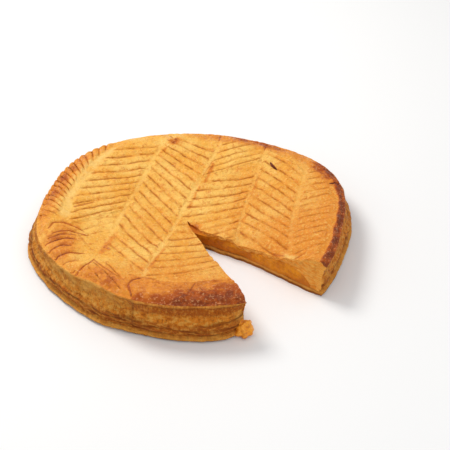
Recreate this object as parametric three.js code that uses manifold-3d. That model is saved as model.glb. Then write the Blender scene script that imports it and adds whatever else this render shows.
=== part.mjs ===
// Galette des rois: a round puff-pastry cake with a scored, glazed top and almond cream inside, and one wedge
// cut out of it.
// Units are millimetres, degrees where a name says so, and +Z is up.
// Every shape is laid out from the tip of the missing wedge. FRAME_SHIFT then centres it on the origin.
import * as THREE from "three";
import Module from "manifold-3d";

const wasm = await Module();
wasm.setup();

const FRAME_SHIFT = [-2.4, 3.7];
const DEGREE = Math.PI / 180;
const TURN = 2 * Math.PI;
const GAP = 0.3; // between two neighbouring layers

// Outlines seen from above: a mean radius, and waves round it as [how many, how high, peak in degrees].
const LID_OUTLINE = {
  mean: 130.6,
  waves: [[1, 5.6, -56], [2, 1.3, -93], [3, 0.6, 112], [4, 2.6, 126], [5, 0.8, 157], [6, 1.5, 100]],
};
const BASE_OUTLINE = {
  mean: 133.8,
  waves: [[1, 2.8, -23], [2, 2.1, -3], [3, 1.5, 88], [4, 3.4, 84], [6, 1.4, 87], [7, 0.8, 170]],
};
// Swells of an outline: where in degrees, how far they spread, and how high they are.
const LIP_INSETS = [
  [-148, 12, 1.6], [-126, 8, 3.6], [-108, 52, 3.3], [8, 26, -1.2],
  [40, 20, -2.2], [90, 66, -2.4], [150, 20, -1.6],
];
// The last of these is the corner that is lost beside the near cut.
const BASE_SWELLS = [[-178, 20, 1.5], [-157, 9, -1], [-122, 12, 3.2], [-68, 6, -9]];
const FOOT_INSET = 2.2; // from the base's edge in to the foot of the side
const FILLING_INSET = 15; // from the lid's outline to the filling's edge
const FILLING_SHARES = [0.3, 0.55, 0.74, 0.86, 0.94, 0.99]; // where its rings lie between its middle and edge

// Heights of the dished top.
const CENTRE_HEIGHT = 15;
const CREST_HEIGHT = 32.4;
const CREST_TILT = 4.8; // the front stands this much above the mean, and the back as much below it
const CREST_INSET = 14; // from the outline in to the highest part of the rim
const DISH_POWER = 1.6;
const SHOULDER_DROP = 2.8;
const LEFT_SAG = { depth: 3.6, at: -150, spread: 24 }; // the rim sinks here

// The side, from the lip down.
const LIP_HEIGHT = 1.2; // height of the pale lip's ridge over the crease above it
const CREASE_INSET = 2.4;
const WALL_WAIST = 0.8;
const WALL_BELLY = 1.9;
const WALL_LEAN = 1.3; // the power with which the side leans in towards the lip
const SEAM_AT = -108.5; // degrees, the upright fold in the front of the side
const SEAM_STEP = 1.3;
const FLAKE_WAVES = [[23, 0.35, 10], [41, 0.25, 70], [67, 0.18, 35]]; // uneven layers round the side

// Layers from below.
const BASE_TOP = 5;
const BASE_EDGE_LIFT = 1.6; // the thin edge curls up off the table
const BASE_EDGE_THICK = 2.2;
const BASE_FLAT_INSET = 7; // from the edge in to where the base lies flat
const CRUST_THICK = 2.6; // the lid over the filling, at the centre
const CRUST_EXTRA = 3.4; // what it gains towards the rim

// Spines of the herringbone: x is a + b y + c y^2.
const SPINES = {
  outerLeft: [-105, 0.041, 0.00294],
  left: [-58.9, 0.248, 0.00053],
  middle: [-11.5, 0.3, 0.00051],
  right: [44.2, 0.193, 0.00062],
  outerRight: [89.1, 0.157, 0.001],
};
// Scored lines between two spines. The k-th starts on the left spine at y = a + b k + c k^2, and ends on the
// right spine at another such y. A sagging line hangs below its straight stretch.
const BANDS = [
  { left: "outerLeft", right: "left", lines: [-3, 6], sag: 0,
    start: [20, 12.2, 0], end: [46, 9.6, 0] },
  { left: "left", right: "middle", lines: [-1, 14], sag: 0,
    start: [-21.2, 15.17, -0.372], end: [-69.3, 13.92, -0.152] },
  { left: "middle", right: "right", lines: [0, 12], sag: 2,
    start: [-88.7, 13.1, -0.082], end: [-66.7, 11.7, -0.082] },
  { left: "middle", right: "right", lines: [0, 4], sag: -1,
    start: [66, 9.5, 0], end: [84, 7, 0] },
  { left: "right", right: "outerRight", lines: [-1, 9], sag: -3,
    start: [-14.3, 13.85, -0.237], end: [-64.4, 14.05, -0.125] },
];
const VENT = { band: 4, line: 8 }; // the vent takes the place of this line
const SPINE_MARGIN = 3.6; // a scored line stops this far from a spine
const SCORE_INSET = 11; // and this far from the outline
const SCORE = { width: 1.7, depth: 1, stations: 2 };
const FINE_SCORE = { width: 1.5, depth: 0.8, stations: 2 };

// The missing wedge. The near cut is straight, and the far cut bends once.
const NEAR_CUT = -69.5; // degrees
const CUT_TIP = [4, -10];
const TORN_TIP = [-2, 4];
const FAR_BEND = [47, -33];
const FAR_END = [113, -83];
const CUT_REACH = 1.6; // how far past the rim the cutter runs, as a share of the last stretch
const DROOP = { depth: 6, from: 40, to: 116, spread: 11 }; // the lid sinks towards the far cut here

const SPOKES = 90;
const SIMPLER_BY = 0.06; // how far a surface may move when slivers are merged

function wave(list, angle) {
  const term = ([count, height, peak]) => height * Math.cos(count * angle - peak * DEGREE);
  return list.reduce((sum, entry) => sum + term(entry), 0);
}

function outline(shape, angle) {
  return shape.mean + wave(shape.waves, angle);
}

function quadratic([a, b, c], t) {
  return a + b * t + c * t * t;
}

// 1 at the middle, falling smoothly to 0 a few spreads away.
function bump(value, middle, spread) {
  return Math.exp(-(((value - middle) / spread) ** 2));
}

// The difference between two angles in degrees, from -180 to 180.
function turnBetween(angle, degrees) {
  const turn = (angle / DEGREE - degrees) % 360;
  return turn > 180 ? turn - 360 : turn < -180 ? turn + 360 : turn;
}

function smooth(low, high, value) {
  const t = Math.min(1, Math.max(0, (value - low) / (high - low)));
  return t * t * (3 - 2 * t);
}

function crestHeight(angle) {
  const sag = LEFT_SAG.depth * bump(turnBetween(angle, LEFT_SAG.at), 0, LEFT_SAG.spread);
  return CREST_HEIGHT - CREST_TILT * Math.sin(angle) - sag;
}

// How far a point lies from the far cut's outer stretch.
function fromFarCut(x, y) {
  const [dx, dy] = [FAR_END[0] - FAR_BEND[0], FAR_END[1] - FAR_BEND[1]];
  return Math.abs(((x - FAR_BEND[0]) * dy - (y - FAR_BEND[1]) * dx) / Math.hypot(dx, dy));
}

function swell(list, angle) {
  return list.reduce((sum, [at, spread, high]) => sum + high * bump(turnBetween(angle, at), 0, spread), 0);
}

function lipRadius(angle) {
  return outline(LID_OUTLINE, angle) - swell(LIP_INSETS, angle);
}

function baseRadius(angle) {
  return outline(BASE_OUTLINE, angle) + swell(BASE_SWELLS, angle);
}

function topHeight(radius, angle) {
  const edge = lipRadius(angle);
  const crest = crestHeight(angle);
  const rise = Math.min(1, radius / (edge - CREST_INSET)) ** DISH_POWER;
  const past = Math.max(0, (radius - edge + CREST_INSET) / CREST_INSET);
  const [x, y] = [radius * Math.cos(angle), radius * Math.sin(angle)];
  const along = smooth(DROOP.from, DROOP.from + 14, radius) * smooth(DROOP.to + 12, DROOP.to - 6, radius);
  const droop = DROOP.depth * along * bump(fromFarCut(x, y), 0, DROOP.spread) * (x > 0 ? 1 : 0);
  return CENTRE_HEIGHT + (crest - CENTRE_HEIGHT) * rise - SHOULDER_DROP * past ** 2.5 - droop;
}

function heightAt(x, y) {
  return topHeight(Math.hypot(x, y), Math.atan2(y, x));
}

function lipHeight(angle) {
  return crestHeight(angle) - SHOULDER_DROP;
}

// The side's radius at a height between the base's top, 0, and the lip, 1.
function wallRadius(angle, share) {
  const turn = turnBetween(angle, SEAM_AT);
  const step = SEAM_STEP * smooth(-1.5, 1.5, turn) * smooth(48, 30, turn);
  const belly = WALL_BELLY * bump(share, 0.28, 0.2) - WALL_WAIST * bump(share, 0.72, 0.2);
  const flakes = wave(FLAKE_WAVES, angle + 0.9 * share);
  const foot = baseRadius(angle) - FOOT_INSET;
  return foot + (lipRadius(angle) - foot) * share ** WALL_LEAN + belly + step + flakes;
}

function crustThickness(radius, angle) {
  return CRUST_THICK + CRUST_EXTRA * (radius / outline(LID_OUTLINE, angle)) ** 2;
}

// The height of the filling's upper face at a share of its own radius.
function fillingTop(share, angle) {
  const radius = share * fillingRadius(angle);
  const full = topHeight(radius, angle) - crustThickness(radius, angle);
  const floor = BASE_TOP + GAP;
  return floor + (full - floor) * Math.sqrt(1 - smooth(0.72, 1.02, share) ** 1.4);
}

function fillingRadius(angle) {
  return outline(LID_OUTLINE, angle) - FILLING_INSET;
}

function solid(points, faces) {
  return new wasm.Manifold(
    new wasm.Mesh({
      numProp: 3,
      vertProperties: new Float32Array(points.flat()),
      triVerts: new Uint32Array(faces.flat()),
    }),
  );
}

// A closed solid from rings round the Z axis, given from the top pole outwards, down and back to the bottom
// pole. Each ring is a function from an angle to [radius, height]. Rings that go back in split their faces
// the other way, so that an underside matches the upper face that it lies on.
function ringSolid(topPole, rings, bottomPole, spokes = SPOKES) {
  const points = [[0, 0, topPole]];
  const faces = [];
  for (const ring of rings) {
    for (let s = 0; s < spokes; s++) {
      const angle = (TURN * s) / spokes;
      const [radius, height] = ring(angle);
      points.push([radius * Math.cos(angle), radius * Math.sin(angle), height]);
    }
  }
  points.push([0, 0, bottomPole]);
  const last = points.length - 1;
  for (let s = 0; s < spokes; s++) {
    const next = (s + 1) % spokes;
    faces.push([0, 1 + s, 1 + next]);
    for (let r = 0; r + 1 < rings.length; r++) {
      const [a, b] = [1 + r * spokes, 1 + (r + 1) * spokes];
      const inward = rings[r + 1](0)[0] < rings[r](0)[0];
      if (inward) faces.push([a + s, b + s, a + next], [b + s, b + next, a + next]);
      else faces.push([a + s, b + s, b + next], [a + s, b + next, a + next]);
    }
    const bottom = last - spokes;
    faces.push([bottom + s, last, bottom + next]);
  }
  return solid(points, faces);
}

// An upright prism over an outline of [x, y] points.
function prism(corners, low, high) {
  const flat = corners.map(([x, y]) => new THREE.Vector2(x, y));
  const ring = THREE.ShapeUtils.isClockWise(flat) ? flat.reverse() : flat;
  const count = ring.length;
  const points = [low, high].flatMap((z) => ring.map((p) => [p.x, p.y, z]));
  const faces = [];
  for (const [a, b, c] of THREE.ShapeUtils.triangulateShape(ring, [])) {
    faces.push([a + count, b + count, c + count], [a, c, b]);
  }
  ring.forEach((_, i) => {
    const next = (i + 1) % count;
    faces.push([i, next, next + count], [i, next + count, i + count]);
  });
  return solid(points, faces);
}

// A V-shaped cutter that follows the top surface along a line of [x, y] points.
function scoreCutter(line, { width, depth }) {
  const overhang = 1.2;
  const points = [];
  const faces = [];
  line.forEach(([x, y], i) => {
    const before = line[Math.max(0, i - 1)];
    const after = line[Math.min(line.length - 1, i + 1)];
    const length = Math.hypot(after[0] - before[0], after[1] - before[1]);
    const side = [-(after[1] - before[1]) / length, (after[0] - before[0]) / length];
    const height = heightAt(x, y);
    const half = (width / 2) * (1 + overhang / depth);
    points.push([x + side[0] * half, y + side[1] * half, height + overhang]);
    points.push([x - side[0] * half, y - side[1] * half, height + overhang]);
    points.push([x, y, height - depth]);
  });
  for (let i = 0; i + 1 < line.length; i++) {
    const [a, b] = [3 * i, 3 * i + 3];
    for (let k = 0; k < 3; k++) {
      const next = (k + 1) % 3;
      faces.push([a + k, b + k, b + next], [a + k, b + next, a + next]);
    }
  }
  const end = 3 * (line.length - 1);
  faces.push([0, 1, 2], [end, end + 2, end + 1]);
  const made = solid(points, faces);
  return made.volume() < 0 ? solid(points, faces.map(([a, b, c]) => [a, c, b])) : made;
}

// Points from one end to the other, with an optional bow sideways.
function stretch(start, end, stations, bow = 0) {
  const length = Math.hypot(end[0] - start[0], end[1] - start[1]);
  const side = [-(end[1] - start[1]) / length, (end[0] - start[0]) / length];
  return Array.from({ length: stations + 1 }, (_, i) => {
    const t = i / stations;
    const off = 4 * bow * t * (1 - t);
    return [
      start[0] + (end[0] - start[0]) * t + side[0] * off,
      start[1] + (end[1] - start[1]) * t + side[1] * off,
    ];
  });
}

function insideScoring([x, y]) {
  return Math.hypot(x, y) < lipRadius(Math.atan2(y, x)) - SCORE_INSET;
}

// The part of a line that keeps its distance from the outline, or null if hardly any is left.
function clipped(start, end) {
  const fine = stretch(start, end, 24).filter(insideScoring);
  if (fine.length < 5) return null;
  return [fine[0], fine[fine.length - 1]];
}

function bandCutters({ left, right, lines, sag, start, end }, band) {
  const cutters = [];
  for (let k = lines[0]; k <= lines[1]; k++) {
    if (band === VENT.band && k === VENT.line) continue;
    const [low, high] = [quadratic(start, k), quadratic(end, k)];
    const [x0, x1] = [quadratic(SPINES[left], low), quadratic(SPINES[right], high)];
    const margin = SPINE_MARGIN / (x1 - x0);
    const inner = (t) => [x0 + (x1 - x0) * t, low + (high - low) * t];
    const ends = clipped(inner(margin), inner(1 - margin));
    if (ends) cutters.push(scoreCutter(stretch(...ends, SCORE.stations, -sag), SCORE));
  }
  return cutters;
}

// Lines from the outer right spine out to the rim.
function outerRightCutters() {
  const [slope, length, pitch] = [13 * DEGREE, 24, 9.4];
  const cutters = [];
  for (let y = -47; y <= 56; y += pitch) {
    const start = [quadratic(SPINES.outerRight, y) + SPINE_MARGIN, y];
    const ends = clipped(start, [start[0] + length * Math.cos(slope), start[1] + length * Math.sin(slope)]);
    if (ends) cutters.push(scoreCutter(stretch(...ends, FINE_SCORE.stations), FINE_SCORE));
  }
  return cutters;
}

// Short slanted notches over the left rim.
function rimNotchCutters() {
  const cutters = [];
  const [first, last, pitch, slant] = [128, 186, 3.5, 36 * DEGREE];
  for (let degrees = first; degrees <= last; degrees += pitch) {
    const outward = degrees * DEGREE;
    const along = outward + Math.PI - slant;
    const radius = lipRadius(outward);
    const at = (length) => [
      radius * Math.cos(outward) + length * Math.cos(along),
      radius * Math.sin(outward) + length * Math.sin(along),
    ];
    cutters.push(scoreCutter([at(1), at(9), at(17)], { width: 2.2, depth: 1.2 }));
  }
  return cutters;
}

// Bowed lines on the raised fold at the lower left.
function foldCutters() {
  const cutters = [];
  for (let k = 0; k < 5; k++) {
    const start = [-115 + 1.5 * k, -24 - 11 * k];
    const end = [start[0] + 28, start[1] + 2];
    cutters.push(scoreCutter(stretch(start, end, SCORE.stations, 5), SCORE));
  }
  return cutters;
}

// Slanted lines at the lower left, and the marks along the front rim.
function frontCutters() {
  const cutters = [];
  for (let k = 0; k < 4; k++) {
    const start = [-76 + 7 * k, -71 - 5 * k];
    const end = [start[0] + 14.5, start[1] - 24];
    cutters.push(scoreCutter(stretch(start, end, FINE_SCORE.stations), FINE_SCORE));
  }
  const marks = [
    [[-77, -66], [-83, -92]],
    [[-38, -99], [-42, -118]],
    [[6, -104], [3, -118]],
    [[10, -108], [15, -118]],
    [[19, -110], [24, -118]],
  ];
  for (const [start, end] of marks) cutters.push(scoreCutter(stretch(start, end, 2), FINE_SCORE));
  return cutters;
}

// The groove that runs round the front, inside the rim.
function frontArcCutter() {
  const [radius, first, last, steps] = [99, -118, -78, 8];
  const line = Array.from({ length: steps + 1 }, (_, i) => {
    const angle = (first + ((last - first) * i) / steps) * DEGREE;
    return [radius * Math.cos(angle), radius * Math.sin(angle)];
  });
  return scoreCutter(line, SCORE);
}

function ventCutter() {
  return scoreCutter(stretch([71.4, 77], [76.5, 68.3], 2), { width: 2.6, depth: 2.4 });
}

// Where the near cut leaves the rim, and where the far cut does, both well outside the pastry.
function cutEnds() {
  const near = [220 * Math.cos(NEAR_CUT * DEGREE), 220 * Math.sin(NEAR_CUT * DEGREE)];
  const far = [
    FAR_BEND[0] + CUT_REACH * (FAR_END[0] - FAR_BEND[0]),
    FAR_BEND[1] + CUT_REACH * (FAR_END[1] - FAR_BEND[1]),
  ];
  return [near, far];
}

// The far cut as a crumbly line, jagged by up to its own roughness to either side.
function crumblyFarCut(from, roughness) {
  const [, far] = cutEnds();
  const line = [...stretch(from, FAR_BEND, 7), ...stretch(FAR_BEND, far, 20).slice(1)];
  return line.map(([x, y], i) => {
    const off = i === 0 ? 0 : roughness * (Math.sin(2.1 * i) + 0.6 * Math.sin(5.3 * i + 1));
    return [x + off * 0.5, y + off];
  });
}

function wedge(tip, roughness) {
  const [near, far] = cutEnds();
  const outside = [far[0], near[1]];
  return prism([...crumblyFarCut(tip, roughness), outside, near], -5, 60);
}

// The lid's own wedge also tears a little way past the tip.
function lidWedge() {
  const [near, far] = cutEnds();
  const outside = [far[0], near[1]];
  const edge = crumblyFarCut([14, -15], 0.7);
  return prism([TORN_TIP, [4, 1], [9, -7], ...edge, outside, near], -5, 60);
}

// A rounded lump of pastry that sticks out of the near cut at the rim, and its place with some room round it.
function lump(room) {
  const [rx, ry, rz] = [6.8 + room, 5.6 + room, 5.6 + room];
  const height = 8.6;
  const rings = [0.12, 0.25, 0.4, 0.55, 0.7, 0.85].map((share) => (angle) => {
    const rough = 1 + 0.1 * Math.sin(5 * angle + 6 * share) + 0.07 * Math.cos(3 * angle);
    const around = Math.sin(Math.PI * share) * rough;
    const stretched = Math.hypot(rx * Math.cos(angle), ry * Math.sin(angle));
    return [stretched * around, height + rz * Math.cos(Math.PI * share) * rough];
  });
  return ringSolid(height + rz, rings, height - rz, 18).translate(46.4, -125, 0);
}

// Crumbs that the cutters leave loose are dropped.
function largestBody(body) {
  return body.decompose().sort((a, b) => b.volume() - a.volume())[0];
}

function lidSolid() {
  const shares = [0.2, 0.42, 0.6, 0.75, 0.87, 0.94];
  const top = shares.map((share) => (angle) => {
    const radius = share * (lipRadius(angle) - CREASE_INSET);
    return [radius, topHeight(radius, angle)];
  });
  const crease = (angle) => [lipRadius(angle) - CREASE_INSET, lipHeight(angle) - LIP_HEIGHT];
  const lip = (angle) => [wallRadius(angle, 1), lipHeight(angle)];
  const foot = BASE_TOP + GAP;
  const wall = [0.93, 0.75, 0.55, 0.32, 0.12].map((share) => (angle) => [
    wallRadius(angle, share),
    foot + (lipHeight(angle) - foot) * share,
  ]);
  const rimBottom = (angle) => [wallRadius(angle, 0) - 1.5, foot];
  const pocketEdge = (angle) => [fillingRadius(angle) + GAP, foot];
  const pocket = FILLING_SHARES.map((share) => (angle) => [
    share * fillingRadius(angle) + GAP,
    fillingTop(share, angle) + GAP,
  ]).reverse();
  const rings = [...top, crease, lip, ...wall, rimBottom, pocketEdge, ...pocket];
  return ringSolid(topHeight(0, 0), rings, fillingTop(0, 0) + GAP);
}

function makeLid() {
  const cutters = [
    ...BANDS.flatMap((band, i) => bandCutters(band, i)),
    ...outerRightCutters(),
    ...rimNotchCutters(),
    ...foldCutters(),
    ...frontCutters(),
    frontArcCutter(),
    ventCutter(),
  ];
  const scored = cutters.reduce((body, cutter) => body.subtract(cutter), lidSolid());
  return largestBody(scored.subtract(lidWedge()).add(lump(0)).simplify(SIMPLER_BY));
}

function makeFilling() {
  const ringAt = (share) => (angle) => [share * fillingRadius(angle), fillingTop(share, angle)];
  const rings = FILLING_SHARES.map(ringAt);
  const edge = (angle) => [fillingRadius(angle), BASE_TOP + GAP];
  return ringSolid(fillingTop(0, 0), [...rings, edge], BASE_TOP + GAP).subtract(wedge(CUT_TIP, 0.5));
}

function makeBase() {
  const edgeRadius = (angle) => baseRadius(angle) + wave(FLAKE_WAVES, angle);
  const curl = (angle) => BASE_EDGE_LIFT + 0.4 * Math.cos(9 * angle) + 0.3 * Math.cos(14 * angle + 1);
  const under = (angle) => edgeRadius(angle) - FOOT_INSET - 1;
  const rings = [
    (angle) => [0.5 * under(angle), BASE_TOP],
    (angle) => [under(angle), BASE_TOP],
    (angle) => [edgeRadius(angle) - 1, curl(angle) + BASE_EDGE_THICK],
    (angle) => [edgeRadius(angle), curl(angle) + BASE_EDGE_THICK - 0.8],
    (angle) => [edgeRadius(angle) - 0.6, curl(angle)],
    (angle) => [baseRadius(angle) - BASE_FLAT_INSET, 0],
    (angle) => [0.5 * under(angle), 0],
  ];
  const whole = ringSolid(BASE_TOP, rings, 0).subtract(wedge(CUT_TIP, 0.4));
  return largestBody(whole.subtract(lump(GAP)));
}

function meshOf(name, body, material) {
  const made = body.getMesh();
  const stride = made.numProp;
  const positions = new Float32Array(made.numVert * 3);
  for (let i = 0; i < made.numVert; i++) {
    positions.set(made.vertProperties.subarray(i * stride, i * stride + 3), i * 3);
  }
  const geometry = new THREE.BufferGeometry();
  geometry.setAttribute("position", new THREE.BufferAttribute(positions, 3));
  geometry.setIndex(new THREE.BufferAttribute(new Uint32Array(made.triVerts), 1));
  geometry.translate(FRAME_SHIFT[0], FRAME_SHIFT[1], 0);
  geometry.computeVertexNormals();
  const mesh = new THREE.Mesh(geometry, material);
  mesh.name = name;
  return mesh;
}

const lidPastry = new THREE.MeshStandardMaterial({ color: 0xd98a2e, roughness: 0.5 });
const basePastry = new THREE.MeshStandardMaterial({ color: 0xb5793a, roughness: 0.8 });
const almondCream = new THREE.MeshStandardMaterial({ color: 0xc79a3f, roughness: 0.7 });

const galette = new THREE.Group();
galette.name = "galette_des_rois";
galette.add(meshOf("lid", makeLid(), lidPastry));
galette.add(meshOf("filling", makeFilling(), almondCream));
galette.add(meshOf("base", makeBase(), basePastry));

export default galette;
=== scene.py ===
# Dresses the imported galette: a dense lid with its scored pattern, the almond filling and the base.
# Shapes are worked out in millimetres from the tip of the missing wedge,
# then moved and scaled to the frame.
import math

import bpy
import numpy as np
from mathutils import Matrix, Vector


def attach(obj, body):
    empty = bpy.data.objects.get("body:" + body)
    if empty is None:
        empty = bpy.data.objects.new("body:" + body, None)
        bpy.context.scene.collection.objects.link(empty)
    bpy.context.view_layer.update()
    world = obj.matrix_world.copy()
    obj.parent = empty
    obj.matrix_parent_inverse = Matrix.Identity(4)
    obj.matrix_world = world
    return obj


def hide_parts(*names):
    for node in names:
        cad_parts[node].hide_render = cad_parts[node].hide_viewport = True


MM = 0.001
SHIFT = np.array([-2.4, 3.7, 0.0])  # from the wedge's tip to the frame's origin
GAP = 0.3  # between the solids
CLOSING = 0.25  # how much of it the dressed filling takes up, so that no dark line shows

# Outlines seen from above: a mean radius, and waves round it.
# Each wave is how many there are, how high they are, and their phase in degrees.
LID_MEAN = 130.6
LID_WAVES = (
    (1, 5.6, -56), (2, 1.3, -93), (3, 0.6, 112), (4, 2.6, 126), (5, 0.8, 157), (6, 1.5, 100),
)
BASE_MEAN = 133.8
BASE_WAVES = (
    (1, 2.8, -23), (2, 2.1, -3), (3, 1.5, 88), (4, 3.4, 84), (6, 1.4, 87), (7, 0.8, 170),
)
FLAKE_WAVES = ((23, 0.35, 10), (41, 0.25, 70), (67, 0.18, 35))
# Swells of an outline: where in degrees, how far they spread, and how high they are.
LIP_INSETS = (
    (-148, 12, 1.6), (-126, 8, 3.6), (-108, 52, 3.3), (8, 26, -1.2),
    (40, 20, -2.2), (90, 66, -2.4), (150, 20, -1.6),
)
BASE_SWELLS = ((-178, 20, 1.5), (-157, 9, -1), (-122, 12, 3.2), (-68, 6, -9))
FOOT_INSET = 2.2
FILLING_INSET = 15

# Heights of the dished top
CENTRE_HEIGHT = 15
CREST_HEIGHT = 32.4
CREST_TILT = 4.8
CREST_INSET = 14
DISH_POWER = 1.6
SHOULDER_DROP = 2.8
SAG_DEPTH, SAG_AT, SAG_SPREAD = 3.6, -150, 24
CREASE_INSET = 2.4
LIP_HEIGHT = 1.2
CEILING, CEILING_ROOM = 36.8, 1.0  # above this the relief rises this much more at most

# Side and layers
WALL_WAIST = 0.8
WALL_BELLY = 1.9
WALL_LEAN = 1.3
SEAM_AT, SEAM_STEP = -108.5, 1.3
HOLLOW_DEPTH, HOLLOW_SPREAD = 2.6, 2.6  # of the side beside the near cut
BASE_TOP = 5
BASE_LIFT = 1.6
BASE_THICK = 2.2
BASE_FLAT_INSET = 7
LID_FOOT = BASE_TOP + GAP
LEAST_FILLING = 0.3  # how thick the filling still is at its rim
CRUST_THICK, CRUST_EXTRA = 2.6, 3.4

# The missing wedge
NEAR_CUT = -69.5
CUT_START = np.array([[4.0, -10.0]])  # the tip in the lower layers
TORN_START = np.array([[-2.0, 4.0], [9.0, -9.0], [14.0, -15.0]])  # the torn tip in the lid
FAR_BEND = np.array([47.0, -33.0])
FAR_END = np.array([113.0, -83.0])
DROOP_DEPTH, DROOP_FROM, DROOP_TO, DROOP_SPREAD = 6, 40, 116, 11
FAR_SPREAD, NEAR_SPREAD = 14, 5  # how far from each cut its jags fade out

# Spines of the herringbone: x = a + b y + c y^2
SPINES = {
    "outer_left": (-105.0, 0.041, 0.00294),
    "left": (-58.9, 0.248, 0.00053),
    "middle": (-11.5, 0.300, 0.00051),
    "right": (44.2, 0.193, 0.00062),
    "outer_right": (89.1, 0.157, 0.0010),
}
# Scored lines between two spines: the k-th meets each spine at y = a + b k + c k^2.
# Then how far it bows, the first and last k, and how strong the lines are.
BANDS = (
    ("outer_left", "left", (20, 12.2, 0.0), (46, 9.6, 0.0), 0.0, (-3.4, 6.4), 1.0),
    ("outer_left", "left", (24, 12.2, 0.0), (42, 9.6, 0.0), 3.0, (-6.4, -3.6), 0.4),
    ("left", "middle", (-21.2, 15.17, -0.372), (-69.3, 13.92, -0.152), 0.0, (-1.4, 14.4), 1.0),
    ("middle", "right", (-88.7, 13.1, -0.082), (-66.7, 11.7, -0.082), -2.0, (-0.4, 12.4), 1.0),
    ("middle", "right", (66, 9.5, 0.0), (84, 7.0, 0.0), 1.0, (-0.4, 4.4), 0.8),
    ("right", "outer_right", (-14.3, 13.85, -0.237), (-64.4, 14.05, -0.125), 3.0, (-1.4, 9.4), 1.0),
)
# How far from each spine its lines begin and reach their full strength
SPINE_CLEAR = {
    "outer_left": (4.0, 7.0),
    "left": (1.4, 3.2),
    "middle": (1.4, 3.2),
    "right": (1.0, 2.6),
    "outer_right": (1.0, 2.6),
}

# Notches over the left rim: their middle, first and last, the turn between two and their slant,
# in degrees
TICKS_AT, TICKS_FROM, TICKS_TO, TICK_TURN, TICK_SLANT = 156, -34, 27, 3.5, 36

# Millimetres for each radian round the top, its glaze, the side and the base, for the noise there
TOP_ARC, GLAZE_ARC, SIDE_ARC, BASE_ARC = 130, 120, 131, 133

# How fine the dense layers are
SPACING = 0.95  # between points of the lid's top
UNDER_SPACING = 5.0
WALL_ROWS = 30
FILLING_SPACING, FILLING_ROWS = 1.6, 14
BASE_SPACING, BASE_UNDER_SPACING, BASE_ROWS = 1.3, 4.0, 8
SHARP_TURN = math.radians(62)  # edges that turn more are shaded sharp

NOISE_TABLE = 97  # after so many steps the noise repeats
NOISE_PLACE = (41.3, 23.7)  # where in its table the origin lies
TOP, SIDE, CUT, LUMP = range(4)  # the kinds of face, and their materials' numbers in the lid


def polar(x, y):
    return np.hypot(x, y), np.arctan2(y, x)


def direction(angle):
    """The step of length 1 along an angle."""
    return np.stack([np.cos(angle), np.sin(angle)], -1)


def inside_lip(x, y):
    """How far inside the lid's outline a place lies."""
    radius, angle = polar(x, y)
    return lip_radius(angle) - radius


def wave(waves, angle):
    return sum(high * np.cos(count * angle - math.radians(peak)) for count, high, peak in waves)


def lid_outline(angle):
    return LID_MEAN + wave(LID_WAVES, angle)


def smooth(low, high, value):
    t = np.clip((value - low) / (high - low), 0, 1)
    return t * t * (3 - 2 * t)


def window(low, full, fading, gone, value):
    """From 0 up to 1 and back to 0."""
    return smooth(low, full, value) * (1 - smooth(fading, gone, value))


def bump(value, middle, spread):
    return np.exp(-(((value - middle) / spread) ** 2))


def turn_from(angle, degrees):
    """The turn in degrees from one direction to an angle, from -180 to 180."""
    return (np.degrees(angle) - degrees + 180) % 360 - 180


def swell(swells, angle):
    return sum(high * bump(turn_from(angle, at), 0, spread) for at, spread, high in swells)


def lip_radius(angle):
    return lid_outline(angle) - swell(LIP_INSETS, angle)


def base_radius(angle):
    return BASE_MEAN + wave(BASE_WAVES, angle) + swell(BASE_SWELLS, angle)


def foot_radius(angle):
    return base_radius(angle) - FOOT_INSET


def noise(x, y, size, seed):
    """Smooth noise from -1 to 1 over the plane, with bumps about as wide as size."""
    table = np.random.default_rng(seed).uniform(-1, 1, (NOISE_TABLE, NOISE_TABLE))
    u, v = (np.asarray(value) / size + place for value, place in zip((x, y), NOISE_PLACE))
    i, j = np.floor(u).astype(int), np.floor(v).astype(int)
    a, b = smooth(0, 1, u - i), smooth(0, 1, v - j)
    i, j, after_i, after_j = (k % NOISE_TABLE for k in (i, j, i + 1, j + 1))
    low = table[i, j] * (1 - a) + table[after_i, j] * a
    high = table[i, after_j] * (1 - a) + table[after_i, after_j] * a
    return low * (1 - b) + high * b


def line_noise(along, size, seed):
    """Smooth noise from -1 to 1 that depends on one distance."""
    return noise(along, 0 * along, size, seed)


def layered_noise(x, y, size, seed, layers=3):
    return sum(noise(x, y, size / 2**k, seed + k) / 2**k for k in range(layers))


def crest_height(angle):
    sag = SAG_DEPTH * bump(turn_from(angle, SAG_AT), 0, SAG_SPREAD)
    return CREST_HEIGHT - CREST_TILT * np.sin(angle) - sag


def lip_height(angle):
    return crest_height(angle) - SHOULDER_DROP


def dish_height(x, y):
    """The lid's smooth upper face, without its scored lines."""
    radius, angle = polar(x, y)
    edge, crest = lip_radius(angle), crest_height(angle)
    rise = np.clip(radius / (edge - CREST_INSET), 0, 1) ** DISH_POWER
    past = np.clip((radius - edge + CREST_INSET) / CREST_INSET, 0, None)
    run = FAR_END - FAR_BEND
    off = np.abs((x - FAR_BEND[0]) * run[1] - (y - FAR_BEND[1]) * run[0]) / np.hypot(*run)
    along = window(DROOP_FROM, DROOP_FROM + 14, DROOP_TO - 6, DROOP_TO + 12, radius)
    droop = DROOP_DEPTH * along * bump(off, 0, DROOP_SPREAD) * (np.asarray(x) > 0)
    return CENTRE_HEIGHT + (crest - CENTRE_HEIGHT) * rise - SHOULDER_DROP * past**2.5 - droop


def filling_top(x, y):
    radius, angle = polar(x, y)
    share = radius / filling_outline(angle)
    crust = CRUST_THICK + CRUST_EXTRA * (radius / lid_outline(angle)) ** 2
    full = dish_height(x, y) - crust
    rounded = np.sqrt(np.clip(1 - smooth(0.72, 1.02, share) ** 1.4, 0, 1))
    return LID_FOOT + (full - LID_FOOT) * rounded


def spine_x(name, y):
    a, b, c = SPINES[name]
    return a + b * y + c * y * y


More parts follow.
